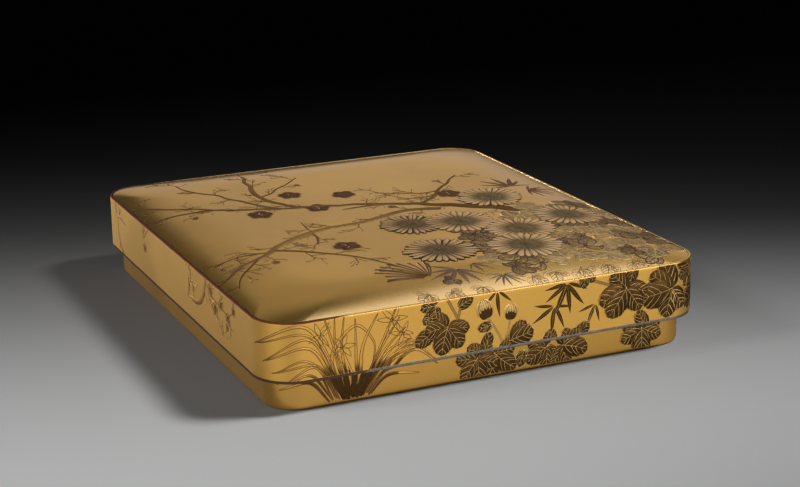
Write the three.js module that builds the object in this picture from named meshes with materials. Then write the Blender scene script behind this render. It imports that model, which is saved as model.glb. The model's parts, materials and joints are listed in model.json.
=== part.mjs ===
// Writing box: a low lacquered box under a deep lid that comes down over it.
// Millimetres, +Z up. The origin is the middle of the underside, +X runs along
// the short front side and +Y from the front to the back.

import * as THREE from 'three';

// Lid
const lidWidth = 222;
const lidDepth = 250;
const lidCornerRadius = 18.5;
const lidWall = 3.9;
const lidPanel = 3.6;            // thickness of the top
const ridgeWidth = 1.2;          // thin raised border round the top
const ridgeRaise = 0.3;          // how far the border stands above the foot of the dome
const ridgeRound = 0.4;          // rounding of the border's two edges
const domeRise = 4.8;            // from the foot of the dome to the middle of the lid
const domeReach = 36;            // how far in from the border the top goes on rising
const domeFullness = 2.1;        // exponent of the dome's curve
const domeCornerRadius = 32;     // of the corners of the flat that the dome ends in

// Metal rim under the lid's wall
const rimHeight = 1.4;
const rimProud = 0.15;           // how far the rim stands out of the wall's face
const rimRound = 0.45;

// Lower box
const boxHeight = 38.4;
const boxExposed = 14.3;         // height of the part that the lid leaves uncovered
const boxWall = 3.6;
const boxFloor = 4;
const boxCornerEase = 1.6;       // how much rounder its corners are than the lid's inside
const footRound = 1.4;           // rounding of the bottom edge
const mouthRound = 0.8;          // rounding of the upper edge
const floorFillet = 2.5;         // hollow rounding between the inside wall and the floor

// Fits
const sideClearance = 1;         // all round, between the lid's wall and the box
const restMargin = 1.6;          // flat of the lid's ceiling beyond the wall that carries it
const sharpestCorner = 0.5;      // least radius of an inside corner

// Fineness of the faceted surfaces
const cornerSteps = 8;
const domeSteps = 9;
const edgeSteps = 2;
const filletSteps = 3;

const quarterTurn = Math.PI / 2;
const coordinates = 3;

// Heights above the table
const domeFoot = boxHeight + lidPanel;
const ridgeTop = domeFoot + ridgeRaise;
const rimTop = boxExposed + rimHeight;

const lidOutline = { width: lidWidth, depth: lidDepth, radius: lidCornerRadius };

// The box stands inside the lid's wall with a running gap all round.
const boxInset = lidWall + sideClearance;
const boxOutline = {
  width: lidWidth - 2 * boxInset,
  depth: lidDepth - 2 * boxInset,
  radius: lidCornerRadius - boxInset + boxCornerEase,
};
const restEnd = boxInset + boxWall + restMargin;

// An outline moved inward by an inset has the outline's corner radius less the
// inset, down to the sharpest inside corner that the lacquer can cover.
function innerRadius(outline, inset) {
  return Math.max(outline.radius - inset, sharpestCorner);
}

// The moved outline as a ring of points that runs anticlockwise. A ring may be
// given a corner radius of its own.
function ring(outline, inset, height, radius = innerRadius(outline, inset)) {
  const centreX = outline.width / 2 - inset - radius;
  const centreY = outline.depth / 2 - inset - radius;
  const corners = [[1, -1], [1, 1], [-1, 1], [-1, -1]];
  return corners.flatMap(([sideX, sideY], corner) => (
    Array.from({ length: cornerSteps + 1 }, (_, step) => {
      const angle = quarterTurn * (corner - 1 + step / cornerSteps);
      return new THREE.Vector3(
        sideX * centreX + radius * Math.cos(angle),
        sideY * centreY + radius * Math.sin(angle),
        height,
      );
    })
  ));
}

// A quarter round as profile points [inset, height]. Turns are quarter turns
// about the round's centre: 0 points into the box, 1 up, 2 outward and 3 down.
function quarterRound(centreInset, centreHeight, radius, fromTurn, toTurn, steps) {
  return Array.from({ length: steps + 1 }, (_, step) => {
    const angle = quarterTurn * THREE.MathUtils.lerp(fromTurn, toTurn, step / steps);
    return [
      centreInset + radius * Math.cos(angle),
      centreHeight + radius * Math.sin(angle),
    ];
  });
}

// Two triangles for each side between a ring and the next.
function band(index, low, high, count) {
  for (let i = 0; i < count; i += 1) {
    const next = (i + 1) % count;
    index.push(low + i, low + next, high + next);
    index.push(low + i, high + next, high + i);
  }
}

function closedMesh(positions, index) {
  const geometry = new THREE.BufferGeometry();
  geometry.setAttribute('position', new THREE.Float32BufferAttribute(positions, coordinates));
  geometry.setIndex(index);
  geometry.computeVertexNormals();
  return geometry;
}

function ringPositions(outline, profile) {
  return profile
    .flatMap(([inset, height, radius]) => ring(outline, inset, height, radius))
    .flatMap((point) => point.toArray());
}

// A tray or a lid: its profile runs from the middle of the lower face, by way
// of the outside, to the middle of the upper face, and each end gets a flat cap.
function vessel(outline, profile) {
  const positions = ringPositions(outline, profile);
  const points = positions.length / coordinates;
  const count = points / profile.length;
  const last = points - count;
  const lowerMiddle = points;
  const upperMiddle = points + 1;
  positions.push(0, 0, profile[0][1]);
  positions.push(0, 0, profile[profile.length - 1][1]);
  const index = [];
  for (let low = 0; low < last; low += count) {
    band(index, low, low + count, count);
  }
  for (let i = 0; i < count; i += 1) {
    const next = (i + 1) % count;
    index.push(lowerMiddle, next, i);
    index.push(upperMiddle, last + i, last + next);
  }
  return closedMesh(positions, index);
}

// A frame of constant section: its profile closes on itself.
function frame(outline, profile) {
  const positions = ringPositions(outline, profile);
  const points = positions.length / coordinates;
  const count = points / profile.length;
  const index = [];
  for (let low = 0; low < points; low += count) {
    band(index, low, (low + count) % points, count);
  }
  return closedMesh(positions, index);
}

// The lid's upper face from the border inward. It is steepest at its foot, and
// its corners grow rounder as it rises.
function domeProfile() {
  return Array.from({ length: domeSteps + 1 }, (_, step) => {
    const share = step / domeSteps;
    const height = domeFoot + domeRise * (1 - (1 - share) ** domeFullness);
    const radius = THREE.MathUtils.lerp(lidCornerRadius - ridgeWidth, domeCornerRadius, share);
    return [ridgeWidth + domeReach * share, height, radius];
  });
}

// The ceiling follows the dome one panel's thickness below it, and is flat
// where the box's wall carries it.
function ceilingProfile() {
  return domeProfile()
    .filter(([inset]) => inset > restEnd)
    .map(([inset, height, radius]) => [inset, height - lidPanel, radius])
    .reverse();
}

function lidGeometry() {
  return vessel(lidOutline, [
    ...ceilingProfile(),
    [restEnd, boxHeight],
    [lidWall, boxHeight],
    [lidWall, rimTop],
    [0, rimTop],
    ...quarterRound(ridgeRound, ridgeTop - ridgeRound, ridgeRound, 2, 1, edgeSteps),
    ...quarterRound(ridgeWidth - ridgeRound, ridgeTop - ridgeRound, ridgeRound, 1, 0, edgeSteps),
    ...domeProfile(),
  ]);
}

function lidRimGeometry() {
  const face = -rimProud;
  return frame(lidOutline, [
    ...quarterRound(lidWall - rimRound, boxExposed + rimRound, rimRound, 0, -1, edgeSteps),
    ...quarterRound(face + rimRound, boxExposed + rimRound, rimRound, 3, 2, edgeSteps),
    [face, rimTop],
    [lidWall, rimTop],
  ]);
}

function boxGeometry() {
  const filletInset = boxWall + floorFillet;
  const mouthCentre = boxHeight - mouthRound;
  return vessel(boxOutline, [
    ...quarterRound(footRound, footRound, footRound, 3, 2, edgeSteps),
    ...quarterRound(mouthRound, mouthCentre, mouthRound, 2, 1, edgeSteps),
    ...quarterRound(boxWall - mouthRound, mouthCentre, mouthRound, 1, 0, edgeSteps),
    ...quarterRound(filletInset, boxFloor + floorFillet, floorFillet, 2, 3, filletSteps),
  ]);
}

const lidLacquer = new THREE.MeshStandardMaterial({
  color: 0xb8935a, roughness: 0.28, metalness: 0.85,
});
const boxLacquer = new THREE.MeshStandardMaterial({
  color: 0xa9803f, roughness: 0.3, metalness: 0.85,
});
const pewter = new THREE.MeshStandardMaterial({
  color: 0x85837e, roughness: 0.4, metalness: 1,
});

function piece(name, geometry, material) {
  const mesh = new THREE.Mesh(geometry, material);
  mesh.name = name;
  return mesh;
}

const writingBox = new THREE.Group();
writingBox.add(
  piece('lower_box', boxGeometry(), boxLacquer),
  piece('lid', lidGeometry(), lidLacquer),
  piece('lid_rim', lidRimGeometry(), pewter),
);

export default writingBox;
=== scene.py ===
import json
import math
import random

import bmesh
import bpy
import numpy as np
from mathutils import Matrix, Vector

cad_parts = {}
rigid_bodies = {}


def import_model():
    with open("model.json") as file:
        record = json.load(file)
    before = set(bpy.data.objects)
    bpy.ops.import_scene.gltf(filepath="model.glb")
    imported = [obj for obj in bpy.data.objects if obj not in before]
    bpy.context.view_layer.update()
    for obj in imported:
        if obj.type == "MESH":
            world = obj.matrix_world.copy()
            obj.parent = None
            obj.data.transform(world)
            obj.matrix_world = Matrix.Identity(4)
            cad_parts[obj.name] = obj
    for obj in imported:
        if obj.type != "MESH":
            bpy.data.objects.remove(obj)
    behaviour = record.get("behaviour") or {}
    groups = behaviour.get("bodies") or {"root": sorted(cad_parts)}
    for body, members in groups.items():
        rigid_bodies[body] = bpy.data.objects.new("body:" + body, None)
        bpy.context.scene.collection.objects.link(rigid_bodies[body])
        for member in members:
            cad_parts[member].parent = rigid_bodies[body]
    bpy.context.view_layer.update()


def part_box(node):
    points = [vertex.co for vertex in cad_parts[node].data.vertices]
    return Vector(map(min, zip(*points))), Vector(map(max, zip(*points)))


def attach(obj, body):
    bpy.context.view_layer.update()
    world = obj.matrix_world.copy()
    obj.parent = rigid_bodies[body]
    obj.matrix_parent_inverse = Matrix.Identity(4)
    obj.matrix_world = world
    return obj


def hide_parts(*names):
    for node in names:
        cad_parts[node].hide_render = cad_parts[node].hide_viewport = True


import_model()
mm = 0.001
print("frame loaded")

# The camera stands to the left of the front, a little above the lid.
cameraView = {
    "azimuth": -24.22,
    "elevation": 17.67,
    "roll": -0.48,
    "pan": -0.58,
    "tilt": -0.72,
    "distance": 902 * mm,
    "targetHeight": 18.5 * mm,
    "lens": 79.27,
    "sensor": 36,
}


def viewDirection(azimuth, elevation):
    a = math.radians(azimuth)
    e = math.radians(elevation)
    return Vector((math.sin(a) * math.cos(e), -math.cos(a) * math.cos(e), math.sin(e)))


def makeCamera():
    view = cameraView
    camera = bpy.data.objects.new("camera", bpy.data.cameras.new("camera"))
    bpy.context.scene.collection.objects.link(camera)
    back = viewDirection(view["azimuth"], view["elevation"])
    camera.location = Vector((0, 0, view["targetHeight"])) + back * view["distance"]
    backward = viewDirection(view["azimuth"] + view["pan"], view["elevation"] + view["tilt"])
    right = Vector((0, 0, 1)).cross(backward).normalized()
    upward = backward.cross(right)
    turned = Matrix((right, upward, backward)).transposed()
    camera.rotation_euler = (turned @ Matrix.Rotation(math.radians(view["roll"]), 3, "Z")).to_euler()
    camera.data.lens = view["lens"]
    camera.data.sensor_width = view["sensor"]
    bpy.context.scene.camera = camera


makeCamera()
print("camera placed")

# Sizes of the box. The outer ones come from the frame.
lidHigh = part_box("lid")[1]
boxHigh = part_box("lower_box")[1]
rimLow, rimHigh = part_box("lid_rim")

lid = {
    "halfX": lidHigh.x,
    "halfY": lidHigh.y,
    "corner": 18.5 * mm,
    "wall": 3.9 * mm,
    "panel": 3.6 * mm,
    "ridgeWidth": 1.2 * mm,
    "ridgeRaise": 0.3 * mm,
    "ridgeRound": 0.4 * mm,
    "domeRise": 4.8 * mm,
    "domeReach": 36 * mm,
    "domeFullness": 2.1,
    "domeCorner": 32 * mm,
    "restMargin": 1.6 * mm,
}
lid["foot"] = boxHigh.z + lid["panel"]
lid["ridgeTop"] = lid["foot"] + lid["ridgeRaise"]

box = {
    "halfX": boxHigh.x,
    "halfY": boxHigh.y,
    "corner": 15.2 * mm,
    "wall": 3.6 * mm,
    "floor": 4 * mm,
    "footRound": 1.4 * mm,
    "mouthRound": 0.8 * mm,
    "floorFillet": 2.5 * mm,
}

rim = {
    "low": rimLow.z,
    "high": rimHigh.z,
    "proud": rimHigh.x - lidHigh.x,
    "round": 0.45 * mm,
}

# Worn gold on the edges, with painted shade in the crease, at the foot and leftward. 0 leaves it whole.
wornAndShadedEdges = {
    "leftFrom": 0.3,           # share of the half width where wear and painted shade towards the left begin
    "leftWithin": 0.55,        # and over which it grows
    "ridge": 1.2,
    "crease": (0.35, 0.65),    # everywhere, and how much more at the left side
    "creaseWidth": 1.2 * mm,
    "rim": (0.45, 0.6),
    "foot": 0.8,
}

# How fine the surfaces are.
fine = {
    "corner": 44,        # steps round a corner
    "side": 24,          # steps along a side
    "dome": 56,
    "round": 6,
    "knotSpan": 10,      # steps between the knots of a drawn line
    "domeSearch": 26,    # halvings that find a point's height on the dome
    "bodyEdge": 32,      # degrees above which an edge shows
    "figureEdge": 50,
}

quarterTurn = math.pi / 2


def ringPoints(halfX, halfY, radius):
    # anticlockwise from the lower end of the right side
    points = []
    corners = [(1, -1), (1, 1), (-1, 1), (-1, -1)]
    for turn, (signX, signY) in enumerate(corners):
        centre = (signX * (halfX - radius), signY * (halfY - radius))
        for step in range(fine["corner"] + 1):
            angle = quarterTurn * (turn - 1 + step / fine["corner"])
            points.append((centre[0] + radius * math.cos(angle), centre[1] + radius * math.sin(angle)))
        nextX, nextY = corners[(turn + 1) % len(corners)]
        start = points[-1]
        angle = quarterTurn * turn
        goal = (nextX * (halfX - radius) + radius * math.cos(angle),
                nextY * (halfY - radius) + radius * math.sin(angle))
        for step in range(1, fine["side"]):
            share = step / fine["side"]
            points.append((start[0] + (goal[0] - start[0]) * share, start[1] + (goal[1] - start[1]) * share))
    return points


def quarterRound(centreInset, centreHeight, radius, fromTurn, toTurn):
    # turns: 0 points inward, 1 up, 2 outward, 3 down
    points = []
    for step in range(fine["round"] + 1):
        angle = quarterTurn * (fromTurn + (toTurn - fromTurn) * step / fine["round"])
        points.append((centreInset + radius * math.cos(angle), centreHeight + radius * math.sin(angle)))
    return points


def addToScene(mesh, sharpAbove):
    mesh.polygons.foreach_set("use_smooth", [True] * len(mesh.polygons))
    mesh.set_sharp_from_angle(angle=math.radians(sharpAbove))
    mesh.update()
    piece = bpy.data.objects.new(mesh.name, mesh)
    bpy.context.scene.collection.objects.link(piece)
    return piece


def meshObject(name, vertices, faces):
    mesh = bpy.data.meshes.new(name)
    mesh.from_pydata(vertices, [], faces)
    return addToScene(mesh, fine["bodyEdge"])


def sweep(name, outline, profile, wornAndShadedAt, closed=False):
    # the function passed in gives a place's wear and painted shade from its inset, height and place along X
    vertices = []
    edges = []
    polish = []
    for entry in profile:
        inset, height = entry[:2]
        radius = entry[2] if len(entry) > 2 else outline["corner"] - inset
        for x, y in ringPoints(outline["halfX"] - inset, outline["halfY"] - inset, radius):
            vertices.append((x, y, height))
            edges.append(wornAndShadedAt(inset, height, x))
            polish.append(float(height > lid["foot"]))
    count = len(vertices) // len(profile)
    bands = len(profile) if closed else len(profile) - 1
    faces = []
    for ring in range(bands):
        low = ring * count
        high = ((ring + 1) % len(profile)) * count
        for i in range(count):
            after = (i + 1) % count
            faces.append((low + i, low + after, high + after, high + i))
    if not closed:
        last = (len(profile) - 1) * count
        faces.append(tuple(reversed(range(count))))
        faces.append(tuple(range(last, last + count)))
    piece = meshObject(name, vertices, faces)
    for label, values in (("edge", edges), ("polish", polish)):
        piece.data.attributes.new(label, "FLOAT", "POINT").data.foreach_set("value", values)
    return piece


def domeRing(share):
    # inset, height and corner radius of the lid's top, from its foot at 0 to the flat at 1
    inset = lid["ridgeWidth"] + lid["domeReach"] * share
    height = lid["foot"] + lid["domeRise"] * (1 - (1 - share) ** lid["domeFullness"])
    startCorner = lid["corner"] - lid["ridgeWidth"]
    return inset, height, startCorner + (lid["domeCorner"] - startCorner) * share


def leftShare(x):
    # 0 up to the middle of the front, 1 towards the left side
    return min(max((-x / lid["halfX"] - wornAndShadedEdges["leftFrom"]) / wornAndShadedEdges["leftWithin"], 0), 1)


# wear and painted shade, growing towards the left side
def wornAndShadedLeftward(amounts, x):
    everywhere, more = amounts
    return everywhere + more * leftShare(x)


def makeLid():
    dome = [domeRing(step / fine["dome"]) for step in range(fine["dome"] + 1)]
    restEnd = lid["halfX"] - box["halfX"] + box["wall"] + lid["restMargin"]
    ceiling = [
        (inset, height - lid["panel"], radius)
        for inset, height, radius in dome
        if inset > restEnd + mm
    ]
    ridgeLow = lid["ridgeTop"] - lid["ridgeRound"]
    fade = wornAndShadedEdges["creaseWidth"]

    def wornAndShadedAt(inset, height, x):
        # worn gold and painted shade, most along the left side's ridge and in the crease behind it
        if height < boxHigh.z:
            return 0
        if inset < lid["ridgeWidth"] - lid["ridgeRound"] / 2:
            return wornAndShadedEdges["ridge"] * leftShare(x) * (height > ridgeLow - fade / 2)
        return wornAndShadedLeftward(wornAndShadedEdges["crease"], x) * max(0, 1 - max(inset - lid["ridgeWidth"], 0) / fade)

    profile = [
        *reversed(ceiling),
        (restEnd, boxHigh.z),
        (lid["wall"], boxHigh.z),
        (lid["wall"], rim["high"]),
        (0, rim["high"]),
        (0, ridgeLow - fade),
        *quarterRound(lid["ridgeRound"], ridgeLow, lid["ridgeRound"], 2, 1),
        *quarterRound(lid["ridgeWidth"] - lid["ridgeRound"], ridgeLow, lid["ridgeRound"], 1, 0),
        *dome,
    ]
    return sweep("lid_body", lid, profile, wornAndShadedAt)


def makeRim():
    face = -rim["proud"]
    low = rim["low"] + rim["round"]
    profile = [
        *quarterRound(lid["wall"] - rim["round"], low, rim["round"], 0, -1),
        *quarterRound(face + rim["round"], low, rim["round"], 3, 2),
        (face, rim["high"]),
        (lid["wall"], rim["high"]),
    ]

    # the pewter's wear and painted shade grow towards the left side
    def wornAndShadedAt(inset, height, x):
        return wornAndShadedLeftward(wornAndShadedEdges["rim"], x)

    return sweep("rim_band", lid, profile, wornAndShadedAt, closed=True)


def makeBox():
    fillet = box["floorFillet"]
    mouth = boxHigh.z - box["mouthRound"]
    foot = box["footRound"]
    profile = [
        *quarterRound(foot, foot, foot, 3, 2),
        (0, foot * 2),
        *quarterRound(box["mouthRound"], mouth, box["mouthRound"], 2, 1),
        *quarterRound(box["wall"] - box["mouthRound"], mouth, box["mouthRound"], 1, 0),
        *quarterRound(box["wall"] + fillet, box["floor"] + fillet, fillet, 2, 3),
    ]

    # worn gold and painted shade at the foot, where the box meets the table
    def wornAndShadedAt(inset, height, x):
        return max(0, 1 - height / foot) * wornAndShadedEdges["foot"]

    return sweep("box_body", box, profile, wornAndShadedAt)


# Materials. Two node groups are shared: the gold's cloudiness and powder, and its worn edges and painted
# shade.
grainRanges = {"Cloud": (0.32, 0.7), "Dust": (0.35, 0.68)}    # of the noise, from none to all
wearAndShadeMask = {"threshold": 1.5, "sharpness": 6.0}


def newGroup(name, inputs, outputs):
    group = bpy.data.node_groups.new(name, "ShaderNodeTree")
    for label, value in inputs.items():
        socket = group.interface.new_socket(label, in_out="INPUT", socket_type="NodeSocketFloat")
        socket.default_value = value
    for label in outputs:
        group.interface.new_socket(label, in_out="OUTPUT", socket_type="NodeSocketFloat")
    return group, group.nodes.new("NodeGroupInput"), group.nodes.new("NodeGroupOutput")


def setInput(tree, socket, value):
    # the value may be a plain number or another socket
    if isinstance(value, (int, float)):
        socket.default_value = value
    else:
        tree.links.new(value, socket)


def addMath(tree, operation, first, second, clamp=False):
    node = tree.nodes.new("ShaderNodeMath")
    node.operation = operation
    node.use_clamp = clamp
    setInput(tree, node.inputs[0], first)
    setInput(tree, node.inputs[1], second)
    return node.outputs[0]


def addRange(tree, value, fromLow, fromHigh, toLow=0.0, toHigh=1.0):
    node = tree.nodes.new("ShaderNodeMapRange")
    node.interpolation_type = "SMOOTHSTEP"
    tree.links.new(value, node.inputs["Value"])
    limits = {"From Min": fromLow, "From Max": fromHigh, "To Min": toLow, "To Max": toHigh}
    for label, number in limits.items():
        node.inputs[label].default_value = number
    return node.outputs["Result"]


def addNoise(tree, scale, detail=3.0, roughness=0.55):
    place = tree.nodes.new("ShaderNodeTexCoord")
    noise = tree.nodes.new("ShaderNodeTexNoise")
    tree.links.new(place.outputs["Object"], noise.inputs["Vector"])
    noise.inputs["Detail"].default_value = detail
    noise.inputs["Roughness"].default_value = roughness
    tree.links.new(scale, noise.inputs["Scale"])
    return noise.outputs["Fac"]


def addMix(tree, factor, first, second):
    # colours may be plain numbers or sockets
    node = tree.nodes.new("ShaderNodeMix")
    node.data_type = "RGBA"
    tree.links.new(factor, node.inputs["Factor"])
    for socket, value in zip((node.inputs[6], node.inputs[7]), (first, second)):
        if isinstance(value, tuple):
            socket.default_value = (*value, 1)
        else:
            tree.links.new(value, socket)
    return node.outputs[2]


def makeGrainGroup():
    group, inputs, outputs = newGroup(
        "lacquerGrain",
        {"Cloud Scale": 16.0, "Dust Scale": 1400.0, "Wave Scale": 9.0},
        ["Cloud", "Dust", "Height"],
    )
    clouds = addNoise(group, inputs.outputs["Cloud Scale"])
    grains = addNoise(group, inputs.outputs["Dust Scale"], detail=1.0)
    wave = addNoise(group, inputs.outputs["Wave Scale"], detail=1.0)
    group.links.new(addRange(group, clouds, *grainRanges["Cloud"]), outputs.inputs["Cloud"])
    group.links.new(addRange(group, grains, *grainRanges["Dust"]), outputs.inputs["Dust"])
    group.links.new(wave, outputs.inputs["Height"])
    return group


# a mask of worn edges and painted shade, broken into patches
def makeWearAndShadeGroup():
    group, inputs, outputs = newGroup("edgeWearAndShade", {"Edge": 0.0, "Amount": 0.5, "Scale": 90.0}, ["Mask"])
    patches = addNoise(group, inputs.outputs["Scale"], detail=5.0, roughness=0.7)
    reach = addMath(group, "ADD", inputs.outputs["Edge"], inputs.outputs["Amount"])
    wornAndShaded = addMath(group, "SUBTRACT", addMath(group, "ADD", reach, patches), wearAndShadeMask["threshold"])
    mask = addMath(group, "MULTIPLY", wornAndShaded, wearAndShadeMask["sharpness"], clamp=True)
    group.links.new(mask, outputs.inputs["Mask"])
    return group


grainGroup = makeGrainGroup()
wearAndShadeGroup = makeWearAndShadeGroup()


def addGroup(tree, group, values):
    node = tree.nodes.new("ShaderNodeGroup")
    node.node_tree = group
    for label, value in values.items():
        setInput(tree, node.inputs[label], value)
    return node


def addGrain(tree, look):
    return addGroup(tree, grainGroup, {"Cloud Scale": look["cloudScale"], "Dust Scale": look["dustScale"]})


def addAttribute(tree, name):
    node = tree.nodes.new("ShaderNodeAttribute")
    node.attribute_name = name
    return node.outputs["Fac"]


def addBump(tree, shader, height, look):
    bump = tree.nodes.new("ShaderNodeBump")
    bump.inputs["Strength"].default_value = look["bump"]
    bump.inputs["Distance"].default_value = look["bumpDepth"]
    tree.links.new(height, bump.inputs["Height"])
    tree.links.new(bump.outputs["Normal"], shader.inputs["Normal"])


def newMaterial(name, look):
    material = bpy.data.materials.new(name)
    material.use_nodes = True
    tree = material.node_tree
    shader = tree.nodes["Principled BSDF"]
    shader.inputs["Metallic"].default_value = look["metallic"]
    shader.inputs["Coat Weight"].default_value = look.get("coat", 0)
    shader.inputs["Coat Roughness"].default_value = look.get("coatRoughness", 0.1)
    shader.inputs["IOR"].default_value = look.get("ior", 1.5)
    shader.inputs["Specular Tint"].default_value = (*look.get("edgeTint", (1, 1, 1)), 1)
    return material, tree, shader


def goldGround(name, look):
    # polished gold powder under clear lacquer, cloudy, a little worn at its edges and with painted shade
    material, tree, shader = newMaterial(name, look)
    grain = addGrain(tree, look)
    gold = addMix(tree, grain.outputs["Cloud"], look["shade"], look["gold"])
    glints = addMath(tree, "MULTIPLY", grain.outputs["Dust"], look["dust"])
    dusted = addMix(tree, glints, gold, look["glint"])
    wearAndShade = addGroup(tree, wearAndShadeGroup, {"Edge": addAttribute(tree, "edge"), "Amount": look["wearAndShade"]})
    wornAndShaded = wearAndShade.outputs["Mask"]
    tree.links.new(addMix(tree, wornAndShaded, dusted, look["wornAndShaded"]), shader.inputs["Base Color"])
    cloudy = addRange(tree, grain.outputs["Cloud"], 0, 1, *look["roughness"])
    polish = addMath(tree, "MULTIPLY", addAttribute(tree, "polish"), look["polish"])
    smooth = addMath(tree, "SUBTRACT", cloudy, polish)
    rougher = addMath(tree, "MULTIPLY", wornAndShaded, look["wornAndShadedRoughness"])
    tree.links.new(addMath(tree, "ADD", smooth, rougher), shader.inputs["Roughness"])
    # the metal, the clear coat and the shine end under the wear and the painted shade
    coat = look.get("coat", 0)
    whole = {"Metallic": look["metallic"], "Coat Weight": coat, "Specular IOR Level": look["shine"]}
    for label, full in whole.items():
        tree.links.new(addRange(tree, wornAndShaded, 0, 1, full, 0), shader.inputs[label])
    addBump(tree, shader, grain.outputs["Height"], look)
    return material


def laidMaterial(name, look):
    # lacquer and metal powder laid on the ground; the tone of the drawing runs from low to high
    material, tree, shader = newMaterial(name, look)
    grain = addGrain(tree, look)
    colour = addMix(tree, addAttribute(tree, "tone"), look["low"], look["high"])
    glints = addMath(tree, "MULTIPLY", grain.outputs["Dust"], look["dust"])
    tree.links.new(addMix(tree, glints, colour, look["glint"]), shader.inputs["Base Color"])
    cloudy = addRange(tree, grain.outputs["Cloud"], 0, 1, *look["roughness"])
    tree.links.new(cloudy, shader.inputs["Roughness"])
    addBump(tree, shader, grain.outputs["Dust"], look)
    return material


lidLook = {
    "shade": (0.53, 0.285, 0.052),
    "gold": (0.62, 0.345, 0.066),
    "glint": (0.74, 0.46, 0.15),
    # red-brown of the worn places, also painted as shade in the crease, at the foot and on the left
    "wornAndShaded": (0.11, 0.035, 0.018),
    "edgeTint": (0.84, 0.65, 0.4),
    "dust": 0.09,
    "cloudScale": 14.0,
    "dustScale": 1500.0,
    "wearAndShade": 0.3,
    "metallic": 0.85,
    "shine": 0.5,
    "roughness": (0.42, 0.36),
    "wornAndShadedRoughness": 0.2,     # how much rougher the worn and painted-shade places are
    "polish": 0.17,           # how much smoother the top is
    "coat": 0.25,
    "coatRoughness": 0.14,
    "bump": 0.4,
    "bumpDepth": 0.4 * mm,
}

# the lower box has the lid's lacquer, painted a little lighter: painted reflection
boxLook = {
    **lidLook,
    "shade": (0.54, 0.288, 0.054),
    "gold": (0.65, 0.355, 0.076),
    "roughness": (0.3, 0.22),
}

pewterLook = {
    "shade": (0.13, 0.12, 0.1),
    "gold": (0.23, 0.21, 0.175),
    "glint": (0.45, 0.42, 0.36),
    # dark of the worn pewter, also painted as shade towards the left
    "wornAndShaded": (0.06, 0.032, 0.02),
    "dust": 0.2,
    "cloudScale": 120.0,
    "dustScale": 900.0,
    "wearAndShade": 0.3,
    "metallic": 1.0,
    "shine": 0.5,
    "roughness": (0.5, 0.3),
    "wornAndShadedRoughness": 0.2,
    "polish": 0.0,
    "bump": 0.3,
    "bumpDepth": 0.15 * mm,
}

laidBasics = {
    "dust": 0.12,
    "cloudScale": 60.0,
    "dustScale": 1800.0,
    "metallic": 0.6,
    "ior": 1.3,
    "roughness": (0.48, 0.4),
    "edgeTint": (0.24, 0.15, 0.07),
    "bump": 0.25,
    "bumpDepth": 0.05 * mm,
}


def laidLook(low, high, glint, **more):
    return {**laidBasics, "low": low, "high": high, "glint": glint, **more}


goldTint = lidLook["edgeTint"]
boughTint = (0.34, 0.21, 0.09)

laidLooks = {
    # dark leaves of the walls, and leaves of the top, whose dark powder is worn thin over gold
    "darkLeaf": laidLook((0.03, 0.014, 0.004), (0.07, 0.034, 0.009), (0.17, 0.1, 0.035)),
    "oliveLeaf": laidLook((0.15, 0.088, 0.024), (0.48, 0.29, 0.08), (0.5, 0.31, 0.09)),
    "bough": laidLook((0.14, 0.072, 0.02), (0.5, 0.28, 0.075), (0.55, 0.32, 0.09),
                      metallic=0.8, edgeTint=boughTint),
    "blossom": laidLook((0.15, 0.085, 0.042), (0.26, 0.155, 0.078), (0.3, 0.19, 0.11), metallic=0.85),
    "disc": laidLook((0.085, 0.05, 0.02), (0.2, 0.14, 0.06), (0.2, 0.14, 0.06)),
    "fineLine": laidLook((0.07, 0.03, 0.012), (0.36, 0.18, 0.05), (0.3, 0.17, 0.06)),
    # gold laid on gold
    "leafVein": laidLook((0.28, 0.155, 0.045), (0.6, 0.39, 0.14), (0.75, 0.52, 0.22),
                         metallic=0.8, edgeTint=goldTint),
    "petal": laidLook((0.075, 0.056, 0.024), (0.8, 0.5, 0.19), (0.85, 0.57, 0.24),
                      metallic=0.85, edgeTint=goldTint),
    "blade": laidLook((0.045, 0.018, 0.005), (0.5, 0.265, 0.052), (0.6, 0.33, 0.08),
                      metallic=0.8, edgeTint=goldTint),
}
laid = {name: laidMaterial(name, look) for name, look in laidLooks.items()}


for piece, node, slot, material in [
    (makeLid(), "lid", "lid_lacquer", goldGround("lidGold", lidLook)),
    (makeBox(), "lower_box", "box_lacquer", goldGround("boxGold", boxLook)),
    (makeRim(), "lid_rim", "pewter", goldGround("rimPewter", pewterLook)),
]:
    piece.data.materials.append(material)
    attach(piece, "root")
    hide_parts(node)
print("box, lid and rim made")


# Drawing kit. A painted figure is first laid out flat, in millimetres, as strokes and pads with a height
# above the ground, and then wrapped on the surface that it belongs to.
sunk = 0.03                # how deep a figure reaches into the ground
narrowest = 0.02           # stroke
padEdge = (0.8, 0.9)       # place and height of a pad's rounded edge, as shares of the pad's
narrowSection = [(-0.5, 0), (0, 1), (0.5, 0)]
broadSection = [(-0.5, 0), (-0.44, 0.95), (0, 1), (0.44, 0.95), (0.5, 0)]


def newSheet():
    return {"points": [], "faces": [], "tones": []}


def smoothLine(knots, step=1.5):
    # a curve through the knots, cut into about equal steps
    knots = [np.array(knot, float) for knot in knots]
    padded = [2 * knots[0] - knots[1], *knots, 2 * knots[-1] - knots[-2]]
    dense = []
    for a, b, c, d in zip(padded, padded[1:], padded[2:], padded[3:]):
        for t in np.linspace(0, 1, fine["knotSpan"], endpoint=False):
            cubic = (2 * a - 5 * b + 4 * c - d) * t**2 + (3 * b - a - 3 * c + d) * t**3
            dense.append(0.5 * (2 * b + (c - a) * t + cubic))
    dense = np.array([*dense, knots[-1]])
    lengths = np.concatenate([[0], np.cumsum(np.linalg.norm(np.diff(dense, axis=0), axis=1))])
    places = np.linspace(0, lengths[-1], max(4, int(lengths[-1] / step) + 1))
    return np.stack([np.interp(places, lengths, dense[:, i]) for i in (0, 1)], axis=1)


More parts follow.
